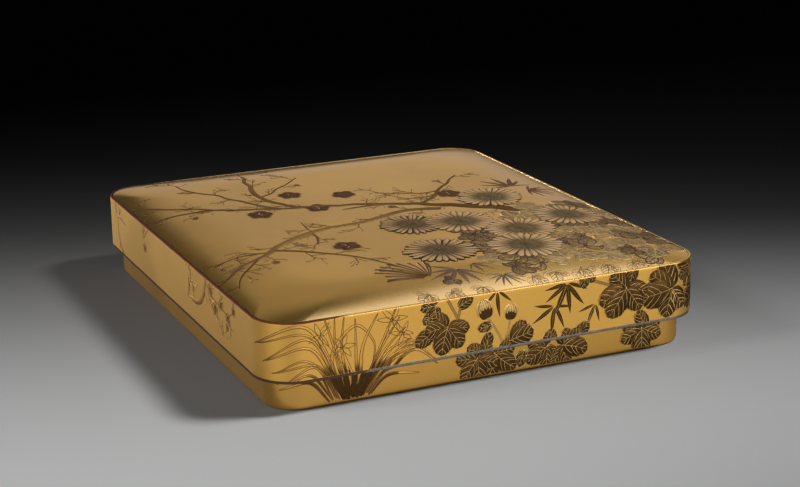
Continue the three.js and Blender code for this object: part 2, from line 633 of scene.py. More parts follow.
def bentLine(start, angle, length, bend, step=1.2):
    # leaves start at the angle and has turned by bend at its end
    count = max(5, int(length / step) + 1)
    turns = angle + bend * (np.arange(count) + 0.5) / count
    steps = np.stack([np.cos(turns), np.sin(turns)], axis=1) * length / count
    return np.concatenate([[start], np.array(start) + np.cumsum(steps, axis=0)])


def circleLine(centre, radius, steps=14, squash=1, turn=0):
    angles = np.linspace(0, 2 * math.pi, steps + 1)
    x = radius * np.cos(angles)
    y = radius * squash * np.sin(angles)
    c, s = math.cos(turn), math.sin(turn)
    return np.stack([centre[0] + c * x - s * y, centre[1] + s * x + c * y], axis=1)


def evaluated(value, *at):
    return value(*at) if callable(value) else value


def acrossLine(line):
    # the way to the left at each point of the line
    along = np.gradient(line, axis=0)
    along /= np.maximum(np.linalg.norm(along, axis=1, keepdims=True), 1e-9)
    return np.stack([-along[:, 1], along[:, 0]], axis=1)


def addStroke(sheet, line, width, rise, tone, base=-sunk, broad=False):
    # width and tone may be functions: of the share along the line, and of that and the share off its middle
    line = np.asarray(line, float)
    across = acrossLine(line)
    section = broadSection if broad else narrowSection
    columns = len(section)
    start = len(sheet["points"])
    rows = len(line)
    for row in range(rows):
        share = row / (rows - 1)
        wide = max(evaluated(width, share), narrowest)
        for offset, lift in section:
            x, y = line[row] + across[row] * wide * offset
            sheet["points"].append((x, y, base + (rise - base) * lift))
            sheet["tones"].append(evaluated(tone, share, abs(offset) * 2))
    for row in range(rows - 1):
        a = start + row * columns
        b = a + columns
        for j in range(columns):
            k = (j + 1) % columns
            sheet["faces"].append((a + j, b + j, b + k, a + k))
    sheet["faces"].append(tuple(range(start, start + columns)))
    end = start + (rows - 1) * columns
    sheet["faces"].append(tuple(reversed(range(end, end + columns))))


def addPad(sheet, centre, outline, rise, tone, edgeTone=None):
    # a filled shape whose outline can all be seen from its centre
    outline = outline[:-1]
    centre = np.array(centre, float)
    count = len(outline)
    start = len(sheet["points"])
    edgeTone = tone if edgeTone is None else edgeTone
    for share, height in [(1, -sunk), (padEdge[0], rise * padEdge[1])]:
        for point in outline:
            x, y = centre + (point - centre) * share
            sheet["points"].append((x, y, height))
            sheet["tones"].append(edgeTone)
    sheet["points"] += [(*centre, rise), (*centre, -sunk)]
    sheet["tones"] += [tone, edgeTone]
    top = start + 2 * count
    for i in range(count):
        k = (i + 1) % count
        sheet["faces"].append((start + i, start + k, start + count + k, start + count + i))
        sheet["faces"].append((start + count + i, start + count + k, top))
        sheet["faces"].append((start + k, start + i, top + 1))


def sideLine(line, width, side):
    # the line moved to one edge of a ribbon of that width
    widths = np.array([evaluated(width, share) for share in np.linspace(0, 1, len(line))])
    return line + acrossLine(line) * (side * widths / 2)[:, None]


# Surfaces that the flat figures are wrapped on.
def pastSides(x, y, inset, radius):
    # how far a point lies past the straight part of each side
    return np.abs(x) - (lid["halfX"] - inset - radius), np.abs(y) - (lid["halfY"] - inset - radius)


def edgeDistance(x, y, inset, radius):
    # distance outside the lid's outline moved inward by inset, with corners of that radius
    pastX, pastY = pastSides(x, y, inset, radius)
    outside = np.hypot(np.maximum(pastX, 0), np.maximum(pastY, 0))
    return outside + np.minimum(np.maximum(pastX, pastY), 0) - radius


def domeHeights(x, y):
    low = np.zeros_like(x)
    high = np.ones_like(x)
    for _ in range(fine["domeSearch"]):
        middle = (low + high) / 2
        inset, height, radius = domeRing(middle)
        outside = edgeDistance(x, y, inset, radius) > 0
        high = np.where(outside, middle, high)
        low = np.where(outside, low, middle)
    return domeRing(low)[1]


def onTop(flat):
    # points beyond the border are brought back to it
    x, y, height = (flat * mm).T
    inset, foot, radius = domeRing(0)
    pastX, pastY = pastSides(x, y, inset, radius)
    excess = np.maximum(edgeDistance(x, y, inset, radius), 0)
    inCorner = (pastX > 0) & (pastY > 0)
    size = np.maximum(np.hypot(pastX, pastY), 1e-9)
    wayX = np.where(inCorner, pastX / size, pastX >= pastY) * np.sign(x)
    wayY = np.where(inCorner, pastY / size, pastX < pastY) * np.sign(y)
    x = x - wayX * excess
    y = y - wayY * excess
    return np.stack([x, y, domeHeights(x, y) + height], axis=1)


def onWall(outline):
    # across: along the wall from the middle of the front, to the right; up: above the table
    corner = outline["corner"]
    frontHalf = outline["halfX"] - corner
    sideHalf = outline["halfY"] - corner
    arc = quarterTurn * corner

    def place(flat):
        across, up, height = (flat * mm).T
        run = np.abs(across)
        sign = np.where(across < 0, -1, 1)
        first = np.clip((run - frontHalf) / corner, 0, quarterTurn)
        side = np.clip(run - frontHalf - arc, 0, 2 * sideHalf)
        second = np.clip((run - frontHalf - arc - 2 * sideHalf) / corner, 0, quarterTurn)
        back = np.maximum(run - frontHalf - 2 * arc - 2 * sideHalf, 0)
        turn = first + second
        reach = corner + height
        x = np.minimum(run, frontHalf) - back + reach * np.sin(turn)
        y = -sideHalf + side - reach * np.cos(turn)
        return np.stack([x * sign, y, up], axis=1)

    return place


def leftWall(y):
    # where a point of the left side lies along the wall, in millimetres
    sideStart = (lid["halfX"] - lid["corner"] + quarterTurn * lid["corner"]) / mm
    return -sideStart - (y + (lid["halfY"] - lid["corner"]) / mm)


def trim(mesh, limits):
    # cuts a flat mesh off below the first height and above the second, and takes out its loose points
    work = bmesh.new()
    work.from_mesh(mesh)
    for limit, way in zip(limits, (-1, 1)):
        cut = bmesh.ops.bisect_plane(
            work,
            geom=[*work.verts, *work.edges, *work.faces],
            plane_co=(0, limit, 0),
            plane_no=(0, way, 0),
            clear_outer=True,
        )
        rims = [part for part in cut["geom_cut"] if isinstance(part, bmesh.types.BMEdge)]
        bmesh.ops.edgeloop_fill(work, edges=rims)
    bmesh.ops.delete(work, geom=[v for v in work.verts if not v.link_faces], context="VERTS")
    work.to_mesh(mesh)
    work.free()


def layOn(name, sheet, surface, material, slot, limits=()):
    points = np.array(sheet["points"])
    faces = sheet["faces"]
    if surface is onTop:
        # figures beyond the border are left out
        inset, foot, radius = domeRing(0)
        inside = edgeDistance(points[:, 0] * mm, points[:, 1] * mm, inset, radius) < 0
        faces = [face for face in faces if inside[list(face)].any()]
    mesh = bpy.data.meshes.new(name)
    mesh.from_pydata(points.tolist(), [], faces)
    mesh.attributes.new("tone", "FLOAT", "POINT").data.foreach_set("value", sheet["tones"])
    trim(mesh, limits)
    flat = np.empty(len(mesh.vertices) * 3)
    mesh.vertices.foreach_get("co", flat)
    mesh.vertices.foreach_set("co", surface(flat.reshape(-1, 3)).ravel())
    mesh.materials.append(material)
    piece = addToScene(mesh, fine["figureEdge"])
    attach(piece, "root")


# The plants. Each figure is worked out from its size and a few angles, so none is a copy of another.
def direction(angle):
    return np.array([math.cos(angle), math.sin(angle)])


# Widths along a figure, from its root at 0 to its tip at 1. The powers set where it is widest.
def ovalWidth(share):
    place = min(max(share, 0), 1) ** 0.9
    return 2 * math.sqrt(place * (1 - place))


def lanceWidth(share):
    return math.sin(math.pi * share**0.75) ** 0.9


def taperWidth(start, end):
    return lambda share: start + (end - start) * share


leafShape = {
    "lobeTurns": {1: [0], 3: [-1.12, 1.12, 0], 5: [-1.75, 1.8, -0.9, 0.95, 0]},
    "turnJitter": 0.2,
    "sideShorter": 0.14,         # how much shorter a lobe is for each radian of its turn
    "lengths": (0.88, 1.12),
    "widths": (0.7, 0.86),       # of a lobe, as shares of its length
    "rootBack": 0.12,
    "bend": 0.35,
    "lobeStep": 0.02,            # how far each lobe lies above the last
    "scallops": 3.5,
    "scallopDepth": 0.08,
    "edgeShade": 0.25,           # how much darker a lobe is at its edge
    "veinPairs": 4,
    "boldVeinPairs": 3,
    "veinsFrom": 0.12,           # place of the first pair along the lobe
    "veinsOver": 0.66,           # from the first pair to the last
    "veinWidth": 0.46,
    "midribTaper": (1.5, 0.6),   # of the veins' width, from the root to the tip
    "veinTip": 0.45,
    "veinTurn": 0.95,
    "veinCurl": -0.6,
    "veinReach": 1.08,
    "veinRise": 0.02,
    "veinDepth": 0.05,
    "outlineWidth": 0.34,
    "boldOutline": 1.5,
    "outlinePlace": 0.93,
    "outlineRise": 0.015,
    "outlineShade": -0.15,       # against the veins
}


def addLobe(fill, veins, base, angle, length, width, bend, level, shade, veinShade, bold):
    # one oval lobe of a leaf, with its midrib and side veins, which are flat and wider when they are bold
    line = bentLine(base, angle, length, bend)
    shape = leafShape

    def lobeWidth(share):
        scallop = abs(math.sin(shape["scallops"] * math.pi * share))
        return width * ovalWidth(share) * (1 - shape["scallopDepth"] + shape["scallopDepth"] * scallop)

    addStroke(fill, line, lobeWidth, level, lambda share, side: shade - shape["edgeShade"] * side, broad=True)
    over = {
        "rise": level + shape["veinRise"],
        "base": level - shape["veinDepth"],
        "tone": veinShade,
        "broad": bold,
    }
    outline = shape["outlineWidth"] * (shape["boldOutline"] if bold else 1)
    for side in (-1, 1):
        edge = sideLine(line, lambda share: lobeWidth(share) * shape["outlinePlace"], side)
        rise = level + shape["outlineRise"]
        addStroke(veins, edge, outline, rise, veinShade + shape["outlineShade"], broad=bold)
    rootWidth, tipWidth = (shape["veinWidth"] * share for share in shape["midribTaper"])
    addStroke(veins, line[:-1], taperWidth(rootWidth, tipWidth), **over)
    pairs = shape["boldVeinPairs"] if bold else shape["veinPairs"]
    for pair in range(pairs):
        share = shape["veinsFrom"] + shape["veinsOver"] * pair / (pairs - 1)
        root = line[int(share * (len(line) - 1))]
        heading = angle + bend * share
        reach = lobeWidth(min(share + 0.12, 0.9)) / 2 / math.sin(shape["veinTurn"]) * shape["veinReach"]
        taper = taperWidth(shape["veinWidth"], shape["veinWidth"] * shape["veinTip"])
        for side in (-1, 1):
            turned = heading + side * shape["veinTurn"]
            vein = bentLine(root, turned, reach, side * shape["veinCurl"], step=0.9)
            addStroke(veins, vein, taper, **over)


def addLeaf(fill, veins, centre, angle, size, lobes, level, shade, veinShade, rng, bold=False):
    # a leaf of rounded lobes round its stalk's end
    shape = leafShape
    for index, turn in enumerate(shape["lobeTurns"][lobes]):
        way = angle + turn + rng.uniform(-shape["turnJitter"], shape["turnJitter"])
        length = size * (1 - shape["sideShorter"] * abs(turn)) * rng.uniform(*shape["lengths"])
        width = length * rng.uniform(*shape["widths"])
        root = np.array(centre) - direction(angle) * size * shape["rootBack"]
        bend = rng.uniform(-shape["bend"], shape["bend"])
        lobeLevel = level + shape["lobeStep"] * index
        addLobe(fill, veins, root, way, length, width, bend, lobeLevel, shade, veinShade, bold)


petalShape = {
    "tipFrom": 0.8,       # share of the petal where its round tip starts
    "tipEnd": 1.02,
    "rootWidth": 0.22,
    "widening": 1.1,
}


def petalWidth(share):
    shape = petalShape
    opening = min(share / shape["tipFrom"], 1) ** shape["widening"]
    wide = shape["rootWidth"] + (1 - shape["rootWidth"]) * opening
    if share > shape["tipFrom"]:
        along = (share - shape["tipFrom"]) / (shape["tipEnd"] - shape["tipFrom"])
        wide *= math.sqrt(max(1 - along**2, 0))
    return wide


bloomShape = {
    # petals, reach as a share of the radius, lift, brightest tone
    "rings": [(27, 1.0, 0.0, 1.0), (14, 0.38, 0.02, 0.08)],
    "disc": 0.9,              # its radius, as a share of the bloom's
    "darkDisc": 0.2,          # how much larger it is in a dark bloom
    "turnJitter": 0.03,
    "lengths": (0.93, 1.03),
    "petalsFrom": 0.14,
    "petalsLong": 0.86,
    "bend": 0.12,
    "petalLift": 0.05,
    "petalDepth": 0.02,
    "petalWidth": 0.88,
    "darkPetalWidth": -0.8,
    "darkUntil": 0.26,        # share of the petal up to which it is dark
    "goldFrom": 0.64,
    "darkness": 0.4,
    "edgeShade": 0.2,
    "lineWidth": 0.42,
    "outlineRise": 0.015,
    "foldWidth": 0.6,
    "foldRise": 0.02,
    "foldDepth": 0.04,
}


def addChrysanthemum(petals, discs, lines, centre, radius, turn, darkness, level, rng):
    # an outer ring of spoon-shaped gold petals, and shorter dark ones round the middle
    shape = bloomShape
    centre = np.array(centre, float)
    disc = circleLine(centre, radius * (shape["disc"] + shape["darkDisc"] * darkness), steps=40)
    addPad(discs, centre, disc, level, tone=0.1)
    under = level - shape["petalDepth"]
    for number, (count, share, lift, brightest) in enumerate(shape["rings"]):
        reach = radius * share
        pitch = 2 * math.pi * reach / count
        height = level + shape["petalLift"] + lift

        def widthAt(place):
            return pitch * (shape["petalWidth"] + shape["darkPetalWidth"] * darkness) * petalWidth(place)

        def petalTone(place, side):
            gold = (place - shape["darkUntil"]) / (shape["goldFrom"] - shape["darkUntil"])
            bright = brightest * (1 - shape["darkness"] * darkness)
            return min(max(gold, 0), 1) * bright * (1 - shape["edgeShade"] * side)

        for k in range(count):
            jitter = rng.uniform(-shape["turnJitter"], shape["turnJitter"])
            angle = turn + 2 * math.pi * (k + 0.5 * number) / count + jitter
            length = reach * rng.uniform(*shape["lengths"]) * shape["petalsLong"]
            start = centre + direction(angle) * reach * shape["petalsFrom"]
            line = bentLine(start, angle, length, rng.uniform(-shape["bend"], shape["bend"]), step=1.3)
            addStroke(petals, line, widthAt, height, petalTone, base=under, broad=True)
            if number == 0:
                for side in (-1, 1):
                    edge = sideLine(line, widthAt, side)
                    rise = height + shape["outlineRise"]
                    addStroke(lines, edge, shape["lineWidth"], rise, tone=0.3, base=under, broad=True)
            foldWidth = shape["lineWidth"] * shape["foldWidth"]
            foldBase = height - shape["foldDepth"]
            addStroke(lines, line[1:-3], foldWidth, height + shape["foldRise"], tone=0.35, base=foldBase)


fanShape = {
    "reach": 0.8,             # of the outer petals, as a share of the radius
    "middleReach": 0.25,      # how much further the middle ones reach
    "lengths": (0.85, 1.1),
    "petalsFrom": 0.1,
    "bends": (0.1, 0.5),
    "petalWidth": 0.5,
    "strokeTaper": (0.1, 0.36),
    "strokeRise": 0.02,
}


def addFanBloom(petals, lines, centre, radius, turn, spread, count, level, rng):
    # half a bloom seen from the side, as single dark brush strokes over pale petals
    shape = fanShape
    centre = np.array(centre, float)
    wide = radius * spread / count
    for k in range(count):
        share = (k + 0.5) / count
        angle = turn + spread * (share - 0.5)
        reach = shape["reach"] + shape["middleReach"] * math.sin(math.pi * share)
        length = radius * reach * rng.uniform(*shape["lengths"])
        start = centre + direction(angle) * radius * shape["petalsFrom"]
        line = bentLine(start, angle, length, rng.uniform(*shape["bends"]), step=1.2)
        addStroke(petals, line, lambda s: wide * petalWidth(s) * shape["petalWidth"], level, tone=0.75)
        thin, thick = (wide * part for part in shape["strokeTaper"])
        addStroke(lines, line, taperWidth(thin, thick), level + shape["strokeRise"], tone=0.3, broad=True)


blossomShape = {
    "petals": 5,
    "petalPlace": 0.5,            # of the petals' middles, as a share of the radius
    "petalSizes": (0.46, 0.56),
    "squash": 0.9,
    "fill": 0.84,                 # how far a petal's colour reaches to its outline
    "petalStep": 0.008,
    "ribs": range(-2, 3),
    "ribTurn": 0.3,
    "ribFrom": 0.3,
    "ribLength": 0.62,
    "ribWidth": 0.22,
    "ribRise": 0.06,
    "ribDepth": 0.04,
    "outlineWidth": 0.34,
    "outlineRise": 0.02,
    "stamens": 10,
    "stamenPlaces": (0.08, 0.2, 0.32, 0.44),
    "stamenWidth": 0.2,
    "stamenRise": 0.08,
    "stamenHead": 0.25,
    "headRise": 0.1,
}


def addBlossom(fill, lines, centre, radius, turn, level, rng):
    # round petals and a ring of stamens; without a sheet for its fill it is only outlined
    shape = blossomShape
    centre = np.array(centre, float)
    for k in range(shape["petals"]):
        angle = turn + 2 * math.pi * k / shape["petals"]
        middle = centre + direction(angle) * radius * shape["petalPlace"]
        size = radius * rng.uniform(*shape["petalSizes"])
        oval = {"steps": 16, "squash": shape["squash"], "turn": angle}
        if fill is not None:
            inner = circleLine(middle, size * shape["fill"], **oval)
            addPad(fill, middle, inner, level + shape["petalStep"] * k, tone=0.6, edgeTone=0.1)
            ribStart = centre + direction(angle) * radius * shape["ribFrom"]
            for j in shape["ribs"]:
                rib = bentLine(ribStart, angle + j * shape["ribTurn"], radius * shape["ribLength"], 0)
                rise = level + shape["ribRise"]
                addStroke(lines, rib, shape["ribWidth"], rise, tone=0.5, base=level - shape["ribDepth"])
        outline = circleLine(middle, size, **oval)
        outlineTone = 0.55 if fill is None else 0.1
        addStroke(lines, outline, shape["outlineWidth"], level + shape["outlineRise"], outlineTone)
    for k in range(shape["stamens"]):
        angle = turn + 2 * math.pi * (k + 0.5) / shape["stamens"]
        line = [centre + direction(angle) * radius * share for share in shape["stamenPlaces"]]
        addStroke(lines, line, shape["stamenWidth"], level + shape["stamenRise"], tone=0.6)
        head = circleLine(line[-1], shape["stamenHead"], steps=6)
        addPad(lines, line[-1], head, level + shape["headRise"], tone=0.6)


twigShape = {
    "knotSpacing": 3,
    "wander": 0.55,             # radians at each knot
    "level": 0.12,
    "shade": 0.4,
    "edgeShade": 0.3,
    "tipWidth": 0.45,           # as a share of the width at the root
    "blossomShare": 0.03,       # of the tips; the others end in a bud
    "blossomSizes": (1.5, 2.4),
    "blossomLevel": 0.1,
    "budSizes": (0.25, 0.42),
    "sideTwigs": (3, 4),
    "sideSpacing": 0.2,
    "sideJitter": 0.12,
    "sideTurns": (0.5, 1.0),
    "sideLengths": (0.35, 0.55),
    "sideWidth": 0.6,
}


def addTwig(sheets, start, angle, length, width, order, rng):
    # a wandering twig with side twigs, buds and outlined blossoms
    shape = twigShape
    steps = max(3, int(length / shape["knotSpacing"]))
    knots = [np.array(start, float)]
    heading = angle
    for _ in range(steps):
        heading += rng.uniform(-shape["wander"], shape["wander"])
        knots.append(knots[-1] + direction(heading) * length / steps)
    line = smoothLine(knots, step=1.1)

    def tone(share, side):
        return shape["shade"] - shape["edgeShade"] * side

    addStroke(sheets["boughs"], line, taperWidth(width, width * shape["tipWidth"]), shape["level"], tone)
    tip = knots[-1]
    if rng.random() < shape["blossomShare"]:
        size = rng.uniform(*shape["blossomSizes"])
        addBlossom(None, sheets["lines"], tip, size, rng.uniform(0, 2), shape["blossomLevel"], rng)
    else:
        bud = circleLine(tip, rng.uniform(*shape["budSizes"]), steps=9)
        addPad(sheets["lines"], tip, bud, shape["level"], tone=0.2)
    if order > 0:
        for k in range(rng.choice(shape["sideTwigs"])):
            place = shape["sideSpacing"] + shape["sideSpacing"] * k + rng.uniform(0, shape["sideJitter"])
            side = rng.choice([-1, 1])
            root = line[min(int(len(line) * place), len(line) - 1)]
            turned = heading + side * rng.uniform(*shape["sideTurns"])
            sideLength = length * rng.uniform(*shape["sideLengths"])
            addTwig(sheets, root, turned, sideLength, width * shape["sideWidth"], order - 1, rng)


boughShape = {
    "jagSpacing": 8,
    "jag": 1.0,
    "knob": 0.1,                # how much the width swells and shrinks
    "knobWaves": (37, 61),
    "edgeShade": 0.28,
    "twigPlaces": (0.3, 0.9),   # of a twig within its part of the bough
    "twigTurns": (0.5, 0.9),
    "twigLengths": (0.6, 1.2),
    "twigWidth": 0.85,
}


def addBough(sheets, knots, widths, shades, twigs, level, twigLength, rng):
    # a branch through the knots, its widths and shades given from one end to the other
    shape = boughShape
    jag = shape["jag"]
    coarse = smoothLine(knots, step=shape["jagSpacing"])
    for point in coarse[1:-1]:
        point += [rng.uniform(-jag, jag), rng.uniform(-jag, jag)]
    line = smoothLine(coarse)
    places = np.linspace(0, 1, len(widths))

    def width(share):
        first, second = (math.sin(share * wave) for wave in shape["knobWaves"])
        return float(np.interp(share, places, widths)) * (1 + shape["knob"] * first * second)

    def tone(share, side):
        shade = float(np.interp(share, np.linspace(0, 1, len(shades)), shades))
        return shade - shape["edgeShade"] * side

    addStroke(sheets["boughs"], line, width, level, tone, broad=True)
    for k in range(twigs):
        share = (k + rng.uniform(*shape["twigPlaces"])) / twigs
        index = min(int(share * (len(line) - 1)), len(line) - 2)
        heading = math.atan2(*(line[index + 1] - line[index])[::-1])
        side = -1 if k % 2 else 1
        reach = twigLength * rng.uniform(*shape["twigLengths"])
        turned = heading + side * rng.uniform(*shape["twigTurns"])
        addTwig(sheets, line[index], turned, reach, shape["twigWidth"], 1, rng)


bambooShape = {
    "level": 0.12,
    "leafStep": 0.006,
    "turnJitter": 0.08,
    "outerReach": 0.72,       # of the outer leaves, as a share of the middle one's
    "lengths": (0.9, 1.1),
    "gap": 0.7,               # between the joint and the leaves
    "bend": 0.22,
    "widest": 0.2,            # width of a leaf, as a share of its length
    "crowding": 1.3,          # the same for all leaves together
    "ribWidth": 0.22,
    "ribRise": 0.06,
    "ribDepth": 0.05,
}


def addBambooSprig(fill, veins, node, angle, length, leaves, spread, shade, rng):
    # slender leaves from one joint
    shape = bambooShape
    level = shape["level"]
    for k in range(leaves):
        share = k / (leaves - 1)
        way = angle + spread * (share - 0.5) + rng.uniform(-shape["turnJitter"], shape["turnJitter"])
        reach = shape["outerReach"] + (1 - shape["outerReach"]) * math.sin(math.pi * share)
        reach *= length * rng.uniform(*shape["lengths"])
        root = np.array(node) + direction(way) * shape["gap"]
        line = bentLine(root, way, reach, rng.uniform(-shape["bend"], shape["bend"]), step=1.1)
        slender = reach * min(shape["widest"], shape["crowding"] / leaves)
        addStroke(fill, line, lambda s: slender * lanceWidth(s), level + shape["leafStep"] * k, shade)
        rise = level + shape["ribRise"]
        addStroke(veins, line[1:-2], shape["ribWidth"], rise, tone=0.4, base=level - shape["ribDepth"])


budShape = {
    "level": 0.16,
    "stalkWidth": 1.3,
    "stalkRise": 0.08,
    "stalkBow": 0.5,
    "radius": 0.54,            # of the petals' ball, as a share of the size
    "stripes": range(-3, 4),
    "stripeFrom": 0.08,
    "stripeTurn": 0.45,
    "stripeLength": 0.95,
    "stripeBend": -0.7,
    "stripeWidth": 0.4,
    "stripeRise": 0.06,
    "stripeDepth": 0.08,
    "sepals": range(-2, 3),
    "sepalFrom": 0.05,
    "sepalTurn": 0.5,
    "sepalLength": 0.6,
    "sepalBend": -0.3,
    "sepalWidth": 0.34,
    "sepalRise": 0.08,
}


def addBud(fill, veins, stalk, centre, angle, size):
    # a round bud with striped petals in a dark cup, on its stalk
    shape = budShape
    level = shape["level"]
    way = direction(angle)
    tip = np.array(centre, float)
    bow = (np.array(stalk) + tip) / 2 + [shape["stalkBow"], 0]
    stem = smoothLine([stalk, bow, tip], step=1.2)
    addStroke(veins, stem, shape["stalkWidth"], shape["stalkRise"], tone=0.1, broad=True)
    middle = tip + way * size * 0.5
    ball = circleLine(middle, size * shape["radius"], steps=24, squash=1.02, turn=angle)
    addPad(veins, middle, ball, level, tone=0.75, edgeTone=0.4)
    stripeStart = tip + way * size * shape["stripeFrom"]
    stripeLength = size * shape["stripeLength"]
    for k in shape["stripes"]:
        turned = angle + k * shape["stripeTurn"]
        stripe = bentLine(stripeStart, turned, stripeLength, k * shape["stripeBend"], step=0.6)
        rise = level + shape["stripeRise"]
        addStroke(fill, stripe, shape["stripeWidth"], rise, tone=0.5, base=level - shape["stripeDepth"])

    def sepalWidth(share):
        return size * shape["sepalWidth"] * lanceWidth(share)

    sepalStart = tip - way * size * shape["sepalFrom"]
    for k in shape["sepals"]:
        turned = angle + k * shape["sepalTurn"]
        sepal = bentLine(sepalStart, turned, size * shape["sepalLength"], k * shape["sepalBend"], step=0.5)
        addStroke(fill, sepal, sepalWidth, level + shape["sepalRise"], tone=0.3, broad=True)


orchidShape = {
    "base": -0.012,            # the blades are thin, and so are sunk less
    "levels": (0.008, 0.004),  # of the first blade, and of each above the last
    "layers": 5,
    "widths": (1.5, 2.2),
    "rootWidth": 0.3,          # as a share of the widest place
    "widestAt": 0.4,
    "darkUpTo": (15, 19),      # millimetres above the table
    "goldWithin": 4,
    "goldFrom": 0.6,           # share of a blade beyond which it is gold at any height
    "lineWidth": 0.36,
    "lineRise": 0.006,
    "lineTone": 0.25,
    "flowerPetals": 6,
    "petalJitter": 0.2,
    "petalLengths": (0.8, 1.15),
    "petalBend": 0.5,
    "petalWidth": 0.32,
}


def addOrchidBlade(sheets, line, width, level, darkUpTo):
    # a long arching leaf, dark up to that height and outlined
    shape = orchidShape
    heights = line[:, 1]

    def bladeWidth(share):
        opening = shape["rootWidth"] + (1 - shape["rootWidth"]) * min(share / shape["widestAt"], 1)
        return width * (1 - share) ** 0.6 * opening

    def bladeTone(share, side):
        height = heights[int(share * (len(heights) - 1))]
        return min(max((height - darkUpTo) / shape["goldWithin"], 0), 1) if share < shape["goldFrom"] else 1

    flat = {"base": shape["base"], "broad": True}
    addStroke(sheets["blades"], line, bladeWidth, level, bladeTone, **flat)
    for side in (-1, 1):
        edge = sideLine(line, bladeWidth, side)[:-1]
        rise = level + shape["lineRise"]
        addStroke(sheets["lines"], edge, shape["lineWidth"], rise, shape["lineTone"], **flat)


def addOrchidFlower(lines, centre, size, turn, level, rng):
    # the outlines of slender petals
    shape = orchidShape
    for k in range(shape["flowerPetals"]):
        jitter = rng.uniform(-shape["petalJitter"], shape["petalJitter"])
        angle = turn + 2 * math.pi * k / shape["flowerPetals"] + jitter
        length = size * rng.uniform(*shape["petalLengths"])
        line = bentLine(centre, angle, length, rng.uniform(-shape["petalBend"], shape["petalBend"]), step=0.8)
        for side in (-1, 1):
            edge = sideLine(line, lambda s: size * shape["petalWidth"] * lanceWidth(s), side)
            addStroke(lines, edge, shape["lineWidth"], level, shape["lineTone"])


